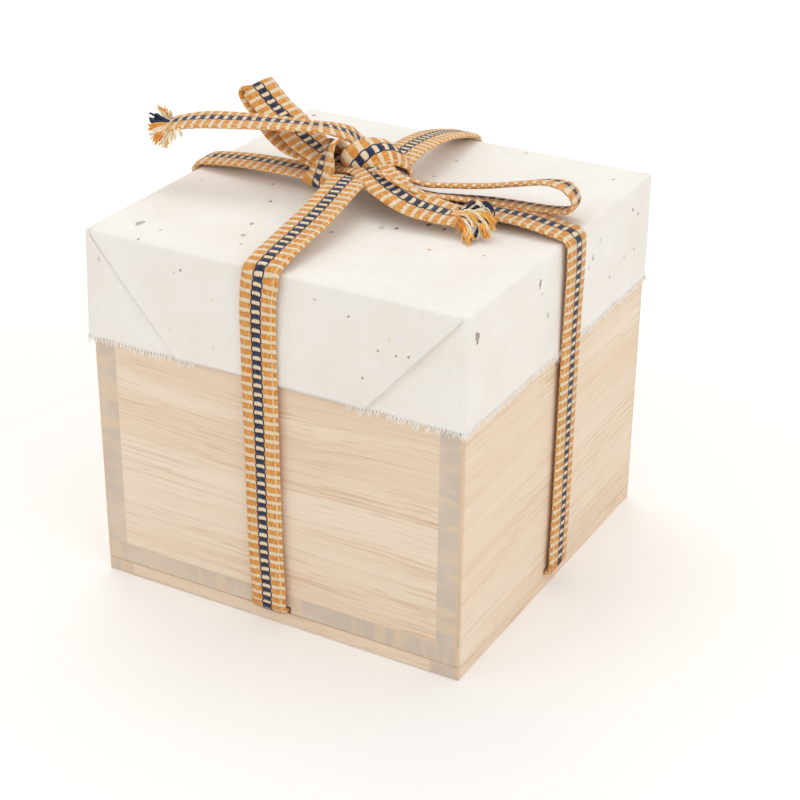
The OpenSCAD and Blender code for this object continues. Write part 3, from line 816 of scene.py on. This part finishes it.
def weave():
    made, tree, shader = finish_material("cord_weave", 0.9, Specular_IOR_Level=0.15, Sheen_Weight=0.25)
    place = add(tree, "ShaderNodeSeparateXYZ", {0: add(tree, "ShaderNodeUVMap", uv_map="weave").outputs[0]})
    across = place.outputs[0]
    along = place.outputs[1]
    thread = maths(tree, "FLOOR", times(tree, across, WARPS))
    jitter = add(tree, "ShaderNodeTexWhiteNoise", {"W": thread}, noise_dimensions="1D").outputs["Value"]
    where = add(tree, "ShaderNodeCombineXYZ", {0: times(tree, across, 5.0), 1: along})
    uneven = add(tree, "ShaderNodeTexNoise", {"Vector": where.outputs[0], "Scale": 1.3, "Detail": 1.0})
    late = times(tree, maths(tree, "SUBTRACT", jitter, 0.5), 0.09)
    drift = times(tree, maths(tree, "SUBTRACT", uneven.outputs["Fac"], 0.5), 0.2)
    late = maths(tree, "ADD", late, drift)
    skew = times(tree, maths(tree, "SUBTRACT", across, 0.5), -0.26)
    phase = maths(tree, "FRACT", maths(tree, "ADD", maths(tree, "ADD", along, late), skew))
    turn = times(tree, maths(tree, "SUBTRACT", phase, 0.765), 2 * math.pi)
    away = maths(tree, "SIGN", maths(tree, "SUBTRACT", across, 0.4875))
    bulge = times(tree, times(tree, maths(tree, "COSINE", turn), away), 0.012)
    x = maths(tree, "SUBTRACT", across, bulge)
    block_ends = [(0.0, 0.0), (0.03, 1.0), (0.57, 1.0), (0.61, 0.0)]

    def between(low, high):
        above = maths(tree, "GREATER_THAN", x, low)
        return times(tree, above, maths(tree, "LESS_THAN", x, high))

    rails = maths(tree, "ADD", between(0.347, 0.387), between(0.588, 0.628))
    rung = ramp(tree, maths(tree, "FRACT", maths(tree, "ADD", phase, 0.03)), block_ends)
    navy = maths(tree, "MAXIMUM", rails, times(tree, between(0.387, 0.588), rung))
    selvedge = maths(tree, "SUBTRACT", 1.0, between(0.90, 0.925))
    gold = times(tree, ramp(tree, phase, block_ends), selvedge)
    stitch = maths(tree, "FLOOR", times(tree, along, 2.0))
    stitch = add(tree, "ShaderNodeCombineXYZ", {0: thread, 1: stitch}).outputs[0]
    tone = add(tree, "ShaderNodeTexWhiteNoise", {"Vector": stitch}, noise_dimensions="2D")
    tone = tone.outputs["Value"]
    mustard = ramp(tree, tone, [(0.0, colour(222, 139, 48)), (0.5, colour(240, 161, 70)),
                                (1.0, colour(250, 188, 102))])
    cream = ramp(tree, tone, [(0.0, colour(252, 221, 176)), (1.0, colour(255, 237, 205))])
    blue = ramp(tree, tone, [(0.0, colour(24, 32, 60)), (1.0, colour(52, 66, 100))])
    face = mix(tree, navy, mix(tree, gold, cream, mustard), blue)
    first = maths(tree, "MINIMUM", maths(tree, "DIVIDE", phase, GOLD_SHARE), 1.0)
    first = maths(tree, "SINE", times(tree, first, math.pi))
    second = maths(tree, "DIVIDE", maths(tree, "SUBTRACT", phase, GOLD_SHARE), PALE_SHARE)
    second = maths(tree, "SINE", times(tree, maths(tree, "MAXIMUM", second, 0.0), math.pi))
    rib = maths(tree, "POWER", maths(tree, "ADD", first, second), 0.6)
    # Painted shade: the colour is multiplied darker in the grooves between the ribs and between the yarns,
    # on top of the bump below.
    yarn = maths(tree, "SINE", times(tree, across, WARPS * math.pi))
    yarn = maths(tree, "ABSOLUTE", yarn)
    shade = maths(tree, "ADD", 0.86, times(tree, rib, 0.14))
    shade = times(tree, shade, maths(tree, "ADD", 0.93, times(tree, yarn, 0.07)))
    dark = add(tree, "ShaderNodeCombineColor", {0: shade, 1: shade, 2: shade}).outputs[0]
    paint(tree, shader, mix(tree, 1.0, face, dark, "MULTIPLY"))
    height = maths(tree, "ADD", times(tree, rib, 0.6), times(tree, yarn, 0.4))
    relief(tree, shader, height, 0.00028, 0.8)
    return made


WEAVE = weave()


def smooth(rows, fine=10):
    """Catmull-Rom through rows of numbers."""
    rows = [Vector(row) for row in rows]
    line = [2 * rows[0] - rows[1], *rows, 2 * rows[-1] - rows[-2]]
    made = []
    for i in range(1, len(line) - 2):
        a, b, c, d = line[i - 1:i + 3]
        for k in range(fine):
            t = k / fine
            made.append(0.5 * (2 * b + (c - a) * t + (2 * a - 5 * b + 4 * c - d) * t * t
                               + (3 * b - a - 3 * c + d) * t * t * t))
    return [*made, rows[-1]]


def even(rows, step):
    """The same line with its rows an even step apart; gives the rows and the line's length."""
    reach = [0.0]
    for a, b in zip(rows, rows[1:]):
        reach.append(reach[-1] + (Vector(b[:3]) - Vector(a[:3])).length)
    count = max(2, round(reach[-1] / step))
    made = []
    k = 0
    for n in range(count + 1):
        goal = reach[-1] * n / count
        while k < len(rows) - 2 and reach[k + 1] < goal:
            k += 1
        share = (goal - reach[k]) / max(1e-9, reach[k + 1] - reach[k])
        made.append(rows[k].lerp(rows[k + 1], share))
    return made, reach[-1]


def rib_height(phase):
    phase %= 1.0
    if phase < GOLD_SHARE:
        return math.sin(math.pi * phase / GOLD_SHARE) ** 0.6
    return math.sin(math.pi * (phase - GOLD_SHARE) / PALE_SHARE) ** 0.6


def cord(name, route, body, start=0.0, cup=0.0, swap=False, seed=0):
    """A woven flat cord; gives its object, its path in metres and its length.

    Rows of the route are x, y, z in mm and the direction of the width, which may be left out where it
    stays the same. The reverse shows the other colour of each rib.
    """
    facing = ()
    spine = []
    for row in route:
        facing = row[3:] or facing
        spine.append([*[value * 0.001 for value in row[:3]], *facing])
    rows, length = even(smooth(spine), PITCH / ROWS_PER_PITCH)
    half = 10
    outline = []
    for i in range(half + 1):
        s = math.cos(math.pi * i / half)
        s = math.copysign(abs(s) ** 0.8, s)
        outline.append((s, (1 - abs(s) ** 6) ** 0.5 if abs(s) < 1 else 0.0))
    outline += [(s, -h) for s, h in outline[-2:0:-1]]
    points = []
    marks = []
    for k, row in enumerate(rows):
        centre = Vector(row[:3])
        ahead = Vector(rows[min(k + 1, len(rows) - 1)][:3])
        tangent = (ahead - Vector(rows[max(k - 1, 0)][:3])).normalized()
        side = Vector(row[3:])
        side = (side - side.dot(tangent) * tangent).normalized()
        up = tangent.cross(side)
        phase = start + k / ROWS_PER_PITCH
        ripple = noise.noise(Vector((phase * 0.35, seed * 3.7, 0.5)))
        rib = rib_height(phase)
        wide = (CORD_W / 2) * (1 + 0.015 * ripple) - RIB_OUT + RIB_OUT * rib
        thick = CORD_T / 2 - RIB_UP / 2 + RIB_UP * rib
        for s, h in outline:
            points.append(centre + side * (s * wide) + up * (h * thick + cup * (1 - s * s)))
            marks.append(((1 - s) / 2 if swap else (1 + s) / 2, phase))
    size = len(outline)
    faces = []
    for k in range(len(rows) - 1):
        here = k * size
        faces += [(here + i, here + (i + 1) % size, here + size + (i + 1) % size, here + size + i)
                  for i in range(size)]
    faces.append(tuple(range(size))[::-1])
    faces.append(tuple(range(len(points) - size, len(points))))
    piece = from_faces(name, points, faces)
    mesh = piece.data
    layer = mesh.uv_layers.new(name="weave")
    for face in mesh.polygons:
        reverse = 0.5 if face.index % size >= half else 0.0
        for corner in face.loop_indices:
            across, phase = marks[mesh.loops[corner].vertex_index]
            layer.data[corner].uv = (across, phase + reverse)
    mesh.shade_smooth()
    mesh.materials.append(WEAVE)
    stand_for(piece, name, body)
    return piece, [tuple(row[:3]) for row in rows[::4]] + [tuple(rows[-1][:3])], length


OUT = 57.55
TOP = 105.15
BEND = [math.radians(degrees) for degrees in (0, 30, 60, 90)]


def under(middle):
    """Half of the cord's cross below the base, as distance from the middle and height, and its mirror."""
    radius = 1.1
    notch = 5.1
    bend = [(OUT - radius * (1 - math.cos(a)), notch + radius * (1 - math.sin(a))) for a in BEND]
    one = [(OUT, 7), *bend, (44.6, notch), (36, 3.2), (12, middle), (0, middle)]
    return one + [(-x, z) for x, z in one[-2::-1]]


cord("cord_under_x", [(x, CORD_Y * 1000, z, 0, 1, 0) for x, z in under(3.2)], "box", seed=1)
cord("cord_under_y", [(CORD_X * 1000, y, z, 1, 0, 0) for y, z in under(1.6)], "box", seed=2)


def strand(run, low, middle):
    """From the notch up the side and over the top edge: out from the middle, sideways, and height."""
    radius = 3
    proud = 0.7
    corner = [(OUT + proud - radius * (1 - math.cos(a)), run[0][1],
               TOP + proud - radius * (1 - math.sin(a))) for a in BEND]
    return [(OUT, low, 7.1), (OUT, low, 12), (OUT, low * 0.3 + middle * 0.7, 26), (OUT, middle, 52),
            (OUT + 0.2, middle * 1.05, 78), (OUT + 0.6, middle * 0.8 + run[0][1] * 0.2, 95),
            *corner, *run]


front = strand([(50.5, -0.9, 107), (40, -1.3, 108.4), (30, -1.7, 109.8), (25, -2.2, 110.4),
                (20.5, -2.8, 110.9), (14, -3.6, 111.7), (8.3, -4.6, 111.8), (4, -5.2, 110.6),
                (1, -5.5, 109)], -1.2, -2.1)
back = strand([(50, -3.7, 107.5), (39.5, -3, 110.3), (28.7, -2.4, 111.9), (18.3, -1.8, 112.4),
               (10, -1, 111.8)], -1.2, -2.5)
left = strand([(50, 1.1, 106.6), (42.5, 0.8, 107.5), (35, 0.5, 108), (24, 0.2, 108.3), (15, 0, 108.5),
               (6, 0, 108.6)], 1.2, 1.2)
right = strand([(50, 1.4, 106.6), (44, 1.5, 107.2), (36, 1.5, 107.3), (20, 1.3, 106.9), (6, 1, 106.8)],
               1.2, 2)
cord("cord_front", [(s, -d, z, 1, 0, 0) for d, s, z in front], "tie", 0.2, seed=3)
cord("cord_back", [(s, d, z, 1, 0, 0) for d, s, z in back], "tie", seed=4)
cord("cord_left", [(-d, s, z, 0, 1, 0) for d, s, z in left], "tie", 0.5, swap=True, seed=5)
cord("cord_right", [(d, s, z, 0, 1, 0) for d, s, z in right], "tie", 0.7, swap=True, seed=6)


# ---- Knot: the cord's band over the middle of the top and its turn round the left run.
# Nothing fixes it but the pull of the cord. Rows are a place in mm and the direction of the width.
band = [
    (-6.5, 3.6, 110.8, 0.89, 0.27, -0.37), (-6.8, 0.8, 112.2), (-6.2, -0.4, 113.6, 0.88, 0.2, -0.42),
    (-4.9, -0.3, 115, 0.84, 0.05, -0.52), (-3.6, 0.6, 116, 0.8, -0.18, -0.56),
    (-2.2, 2.3, 116.6, 0.76, -0.42, -0.5), (-0.9, 4.3, 116.5, 0.76, -0.5, -0.42),
    (0.4, 6.4, 115.5, 0.76, -0.54, -0.36), (1.4, 8, 113.8, 0.76, -0.57, -0.28),
    (2, 8.8, 111.7, 0.8, -0.57, -0.1), (2.3, 8.8, 109.2, 0.8, -0.6, 0), (2, 8, 107)]
turn = [
    (-12.2, 3.7, 114.4, 0.5, -0.8, 0.3), (-13.6, 1.8, 116.9), (-14.4, -0.1, 117.6),
    (-14.7, -1.8, 116.2, 0.6, -0.7, 0.3), (-15, -3.3, 113.9, 0.8, -0.45, 0.3),
    (-15.1, -4.8, 111.4, 0.88, -0.3, 0.3), (-15.5, -5.6, 109, 0.9, -0.3, 0.2),
    (-16, -4.8, 106.8, 0.9, -0.3, 0.1), (-14, 0, 106, 0.9, -0.3, 0)]
cord("knot_band", band, "tie", 0.1, cup=-0.0013, seed=7)
cord("knot_core", turn, "tie", 0.4, seed=8)


# ---- Bow: two loops and two ends of the same cord, each a free stretch that starts inside the knot.
# The left loop's end lies to the front right, and the right loop's end reaches out over the left side.
left_bow = [
    (-16, 2.4, 111.2, 0.38, 0.9, 0.1), (-22, 2.8, 112.7, 0.4, 0.9, 0.1),
    (-28.7, 3.8, 114.2, 0.41, 0.9, 0.15), (-33.4, 4.6, 116.5), (-37.3, 5.2, 119.9), (-40.3, 5.8, 123),
    (-42.4, 6, 125.3), (-43.2, 6.1, 126.8), (-42.7, 6.1, 127.8), (-41.8, 6, 127.3), (-38.3, 5.6, 124.3),
    (-35.7, 5.2, 122.4), (-32.3, 4.6, 120.7), (-28.7, 4, 118.4), (-25, 3.2, 116.1),
    (-19.2, 2.2, 114, 0.45, 0.88, 0.1), (-13.4, 2.6, 112, 0.5, 0.8, 0.15),
    (-8.6, 1.8, 112.1, 0.6, 0.74, 0.15), (-4, 0, 113.2, 0.6, 0.75, 0.2),
    (-0.2, -2.5, 113.3, 0.52, 0.8, 0.22), (2.9, -4.9, 112.9, 0.4, 0.86, 0.24),
    (6.6, -7.2, 112.3, 0.26, 0.9, 0.26), (10.5, -9, 111.5, 0.18, 0.93, 0.26),
    (14, -9.7, 110.5, 0.15, 0.95, 0.24), (18, -9.5, 109.4, 0.15, 0.96, 0.2),
    (22.3, -9.2, 108.8, 0.15, 0.97, 0.15), (26.5, -9, 108.4, 0.15, 0.98, 0.12),
    (30.4, -8.8, 108.6, 0.18, 0.97, 0.14)]
right_bow = [
    (-8.3, 7.3, 111.6, -0.25, 0.9, 0), (-5.4, 6.1, 111.4), (-2, 4, 111.4, -0.25, 0.88, -0.1),
    (2.2, 0.3, 111.9, -0.25, 0.87, -0.2), (6, -2.8, 112.1, -0.25, 0.85, -0.38),
    (9.4, -4.2, 111.7, -0.25, 0.85, -0.42), (12.2, -3.6, 110.7, -0.22, 0.87, -0.38),
    (15.9, -0.5, 109, -0.2, 0.9, -0.32), (22, 4, 107.9, -0.15, 0.93, -0.28),
    (27.2, 6.8, 107.4, -0.12, 0.95, -0.24), (30.9, 8.3, 107.2), (37.6, 9.7, 107),
    (45.6, 10.3, 107.2, -0.14, 0.95, -0.24), (50.8, 10.6, 107.9, -0.2, 0.95, -0.22),
    (52.8, 10.9, 109.3, -0.26, 0.95, -0.18), (53.2, 11, 111.2, -0.26, 0.95, -0.14),
    (52, 10.8, 113.2, -0.22, 0.95, -0.16), (50, 10.5, 114.6, -0.15, 0.95, -0.2),
    (45.2, 10.2, 114.8, -0.1, 0.95, -0.26), (37.4, 9.7, 113, -0.1, 0.95, -0.3), (30.3, 9.2, 111.3),
    (25.8, 8.2, 110.6, -0.12, 0.94, -0.3), (19, 6.2, 110.1, -0.15, 0.93, -0.32),
    (13.8, 4, 110, -0.2, 0.9, -0.34), (10.3, 3, 110.4, -0.25, 0.85, -0.36),
    (7.1, 2.5, 111, -0.28, 0.86, -0.36), (3.7, 4, 111.5, -0.28, 0.88, -0.3),
    (-0.6, 7.3, 111.5, -0.28, 0.93, -0.2), (-4.6, 9.3, 112.2, -0.28, 0.93, -0.15), (-8.2, 10.2, 113.6),
    (-10.9, 9, 115.9), (-12.3, 6.8, 118.1), (-14, 4.1, 119.9), (-17, 0.8, 121.5, -0.28, 0.93, -0.12),
    (-22, -2.2, 122.2, -0.3, 0.94, -0.08), (-30, -5.4, 122.6, -0.33, 0.94, 0),
    (-38, -8.6, 122.7, -0.33, 0.94, 0.05), (-49, -12, 122.1, -0.33, 0.94, 0.08),
    (-57.6, -14.5, 120.3, -0.33, 0.94, 0)]
bow_left = cord("bow_cord_left", left_bow, "tie", 0.3, seed=9)
bow_right = cord("bow_cord_right", right_bow, "tie", 0.6, swap=True, seed=10)


# ---- Frayed ends: the cord was cut and left bare, so its threads stand apart in two small tassels.
# Every thread is a bundle of fine cotton fibres: its tone, and the places in mm that it passes.
def thread_cotton():
    made, tree, shader = finish_material("thread_cotton", 0.9, Specular_IOR_Level=0.15, Sheen_Weight=0.25)
    tone = add(tree, "ShaderNodeAttribute", attribute_name="tone").outputs["Fac"]
    place = own_place(tree)
    dyed = ramp(tree, times(tree, maths(tree, "ADD", tone, 0.5), 0.25),
                [(0.0, colour(253, 190, 90)), (0.25, colour(244, 164, 70)), (0.5, colour(255, 237, 204)),
                 (0.75, colour(38, 48, 80))], "CONSTANT")
    light = ramp(tree, spots(tree, place, (900, 900, 900)), [(0.3, 0.86), (0.7, 1.0)])
    paint(tree, shader, mix(tree, 1.0, dyed, light, "MULTIPLY"))
    relief(tree, shader, spots(tree, place, (4000, 4000, 4000)), 0.00005, 0.5)
    return made


COTTON = thread_cotton()
left_threads = [
    (0, (-61, -10.5, 120.2), (-62.6, -11, 121.8), (-63.6, -12, 123.1)),
    (0, (-61.3, -10.5, 120), (-61.9, -10.8, 121.4), (-62, -11, 122.8)),
    (2, (-60.6, -11.5, 120.1), (-61.8, -12.5, 121.7), (-62.5, -13, 122.4)),
    (2, (-59.9, -11, 120.7), (-59.7, -11.5, 121.7), (-58.8, -12, 122.5)),
    (3, (-59.4, -13.2, 120.3), (-61.6, -14.5, 121.6), (-63.2, -15.5, 122.5)),
    (3, (-59.3, -13.4, 120.2), (-61.1, -14.8, 121.3), (-62.2, -16, 122.1)),
    (3, (-59, -13.8, 120.2), (-61.4, -15.5, 120.9), (-63.4, -17, 121.1)),
    (3, (-58.7, -14.2, 120.2), (-60.9, -16, 120.5), (-62.8, -17.5, 120.5)),
    (0, (-58.5, -15, 120.2), (-60.7, -17, 120.2), (-62.5, -18.8, 120)),
    (1, (-58.2, -15.4, 120.2), (-60.1, -17.5, 120), (-61.7, -19.2, 119.5)),
    (2, (-57.1, -16, 120.4), (-59, -18.5, 119.6), (-61, -20.5, 118.4)),
    (2, (-56.5, -16.4, 120.3), (-58, -19, 119.4), (-60, -20.8, 118)),
    (1, (-56.9, -16.8, 120.1), (-58.1, -19.2, 119), (-59.1, -21, 117.6)),
    (0, (-56.4, -17, 120.1), (-57.7, -19.6, 118.3), (-58.9, -21.4, 116.2)),
    (1, (-55.9, -17.2, 120.1), (-56.9, -19.5, 118.7), (-57.9, -21, 117)),
    (2, (-55.6, -17.4, 120.2), (-56.4, -19.8, 117.9), (-57.1, -21.6, 115.7)),
    (2, (-55.2, -17.6, 120.2), (-55.4, -20, 117.8), (-55.5, -21.8, 115.6)),
    (0, (-54.8, -17.8, 120.3), (-54.9, -19.8, 118), (-54.4, -21.2, 115.9)),
    (2, (-54.2, -18, 120.4), (-54.1, -19.4, 118.8), (-53.6, -20.6, 117.1)),
    (2, (-53.6, -18.2, 120.6), (-52.7, -19.2, 119.8), (-52.1, -20, 118.8)),
    (2, (-52.9, -18.2, 120.9), (-51.6, -18.8, 120.3), (-50.4, -19.4, 119.2)),
    (2, (-55.4, -17, 120.7), (-55.6, -18.6, 119.8), (-56.2, -19.8, 118.5))]
front_threads = [
    (2, (28.5, -8.5, 109.4), (32.1, -8.8, 110.7), (36.3, -10, 109.4)),
    (2, (28.7, -9.5, 109), (31.9, -10, 109.5), (35.6, -12, 107.4)),
    (2, (29.3, -10.5, 108.6), (32.4, -11.5, 108.5), (34.9, -13, 105.9)),
    (0, (28.8, -9, 109.2), (32, -9.6, 110.1), (36.1, -11.4, 108.5)),
    (3, (29.8, -7, 109.9), (32.1, -7.2, 112.2), (33.6, -7.2, 112.3)),
    (2, (30.5, -7.2, 109.9), (34, -7.4, 112.8), (36.1, -7.8, 111.1)),
    (3, (30.9, -7.4, 109.8), (35.8, -7.6, 113.1), (38.4, -8, 111.9)),
    (3, (31.5, -7.6, 109.7), (37.7, -7.8, 112.5), (38.4, -8.6, 109.9)),
    (2, (31.2, -8, 109.5), (36, -8.4, 111.6), (38.7, -9.2, 109.8)),
    (0, (32, -8.4, 109.5), (37.2, -9, 111.2), (40.5, -10, 108.9)),
    (0, (32.2, -8.8, 109.2), (37.2, -9.6, 110.2), (40.4, -11, 107.5)),
    (2, (32.4, -9.2, 109.1), (37, -10.2, 109.2), (39.3, -11.6, 106.6)),
    (0, (32.1, -9.8, 108.7), (36.8, -11, 108.4), (39.5, -12.4, 105.9)),
    (1, (32.2, -10, 108.5), (36.5, -11.4, 107.9), (38.8, -13, 105.2)),
    (2, (31.6, -10, 108.6), (35.9, -11.2, 108.3), (37.5, -12.8, 105.4)),
    (3, (32, -9.6, 108.8), (36, -10.6, 108.9), (36.2, -12, 106.7), (35.6, -15, 105.5)),
    (3, (32.1, -9.8, 108.8), (35.9, -11, 108.3), (36, -12.4, 106.5), (35, -13.2, 105.3)),
    (2, (30.7, -11, 108.2), (34, -12.2, 107.4), (34.9, -15.9, 105.3)),
    (1, (29.6, -11.2, 108.5), (31.8, -12, 107.7), (32.2, -13.2, 105.7)),
    (0, (30, -11.4, 108.4), (32.9, -12.6, 107), (34.4, -16.7, 105.3)),
    (0, (30.3, -11.4, 108.3), (33.7, -12.8, 107), (36, -17.4, 105.2)),
    (0, (30.6, -11.4, 108.2), (34.4, -12.9, 106.7), (36.5, -16.3, 105.2)),
    (1, (30, -11.8, 108.2), (31.6, -12.6, 107.3), (31.5, -13.2, 106.1)),
    (1, (28.9, -10.4, 109.1), (31, -11.2, 108.8), (32.6, -12.6, 107))]
for name, rows, inwards, seed in (("frayed_end_left", left_threads, (1.6, 0.5, 0), 2),
                                  ("frayed_end_front", front_threads, (-1.6, 0, 0.1), 7)):
    guides = []
    for tone, *line in rows:
        root = (Vector(line[0]) + Vector(inwards)) * 0.001
        guides.append((tone, [root, *[Vector(point) * 0.001 for point in line]]))
    tassel = loose_threads(name, guides, COTTON, Copies=11, Spread=0.00062, Curl=0.0018,
                           Thickness=0.00017, Shortest=0.78, Points=9, Sides=5, Seed=seed)
    stand_for(tassel, name, "tie")


# ---- Floor, light and camera: a plain pale floor under soft studio light.
# Three broad lamps and a white world light the box, and the camera looks down at its front right corner.
floor_mesh = bpy.data.meshes.new("floor")
floor_mesh.from_pydata([(-3, -3, 0), (3, -3, 0), (3, 3, 0), (-3, 3, 0)], [], [(0, 1, 2, 3)])
floor = linked("floor", floor_mesh)
pale, tree, shader = finish_material("floor", 0.9, Base_Color=colour(238, 236, 233))
seen = add(tree, "ShaderNodeLightPath")
glow = add(tree, "ShaderNodeEmission", {"Strength": 0.16})
both = add(tree, "ShaderNodeAddShader", {0: shader.outputs[0], 1: glow.outputs[0]})
shown = add(tree, "ShaderNodeMixShader",
            {0: seen.outputs["Is Camera Ray"], 1: shader.outputs[0], 2: both.outputs[0]})
tree.links.new(shown.outputs[0], tree.nodes["Material Output"].inputs["Surface"])
floor_mesh.materials.append(pale)

world = bpy.data.worlds.new("studio")
bpy.context.scene.world = world
world.use_nodes = True
tree = world.node_tree
seen = add(tree, "ShaderNodeLightPath")
direct = maths(tree, "MAXIMUM", seen.outputs["Is Camera Ray"], seen.outputs["Is Glossy Ray"])
direct = maths(tree, "MAXIMUM", direct, seen.outputs["Is Transmission Ray"])
SKY = 0.8
strength = maths(tree, "ADD", SKY, times(tree, direct, 1 - SKY))
tree.links.new(strength, tree.nodes["Background"].inputs["Strength"])
tree.nodes["Background"].inputs["Color"].default_value = (1, 1, 1, 1)


AIM = Vector((0, 0, 0.06))


def lamp(name, place, size, power):
    light = bpy.data.lights.new(name, "AREA")
    light.size = size
    light.energy = power
    made = linked(name, light)
    made.location = place
    made.rotation_euler = (AIM - Vector(place)).to_track_quat("-Z", "Y").to_euler()


lamp("above", (-0.35, 0.45, 1.15), 0.7, 2.85)
lamp("front", (-0.75, -1.1, 0.75), 0.8, 1.8)
lamp("right", (1.25, -0.35, 0.7), 0.9, 3.4)

azimuth = math.radians(28.89)
rise = math.radians(27.14)
roll = math.radians(0.54)
to_right = Vector((math.cos(azimuth), math.sin(azimuth), 0))
to_back = Vector((math.sin(azimuth) * math.cos(rise), -math.cos(azimuth) * math.cos(rise), math.sin(rise)))
to_top = to_back.cross(to_right)
camera_data = bpy.data.cameras.new("camera")
camera_data.lens = 87.5
camera_data.sensor_width = 36
camera = linked("camera", camera_data)
rolled_right = to_right * math.cos(roll) + to_top * math.sin(roll)
rolled_top = to_top * math.cos(roll) - to_right * math.sin(roll)
eye = (0.24416, -0.42963, 0.29669)
rows = [[rolled_right[i], rolled_top[i], to_back[i], eye[i]] for i in range(3)]
camera.matrix_world = Matrix([*rows, [0, 0, 0, 1]])
bpy.context.scene.camera = camera
bpy.context.scene.view_settings.view_transform = "Standard"
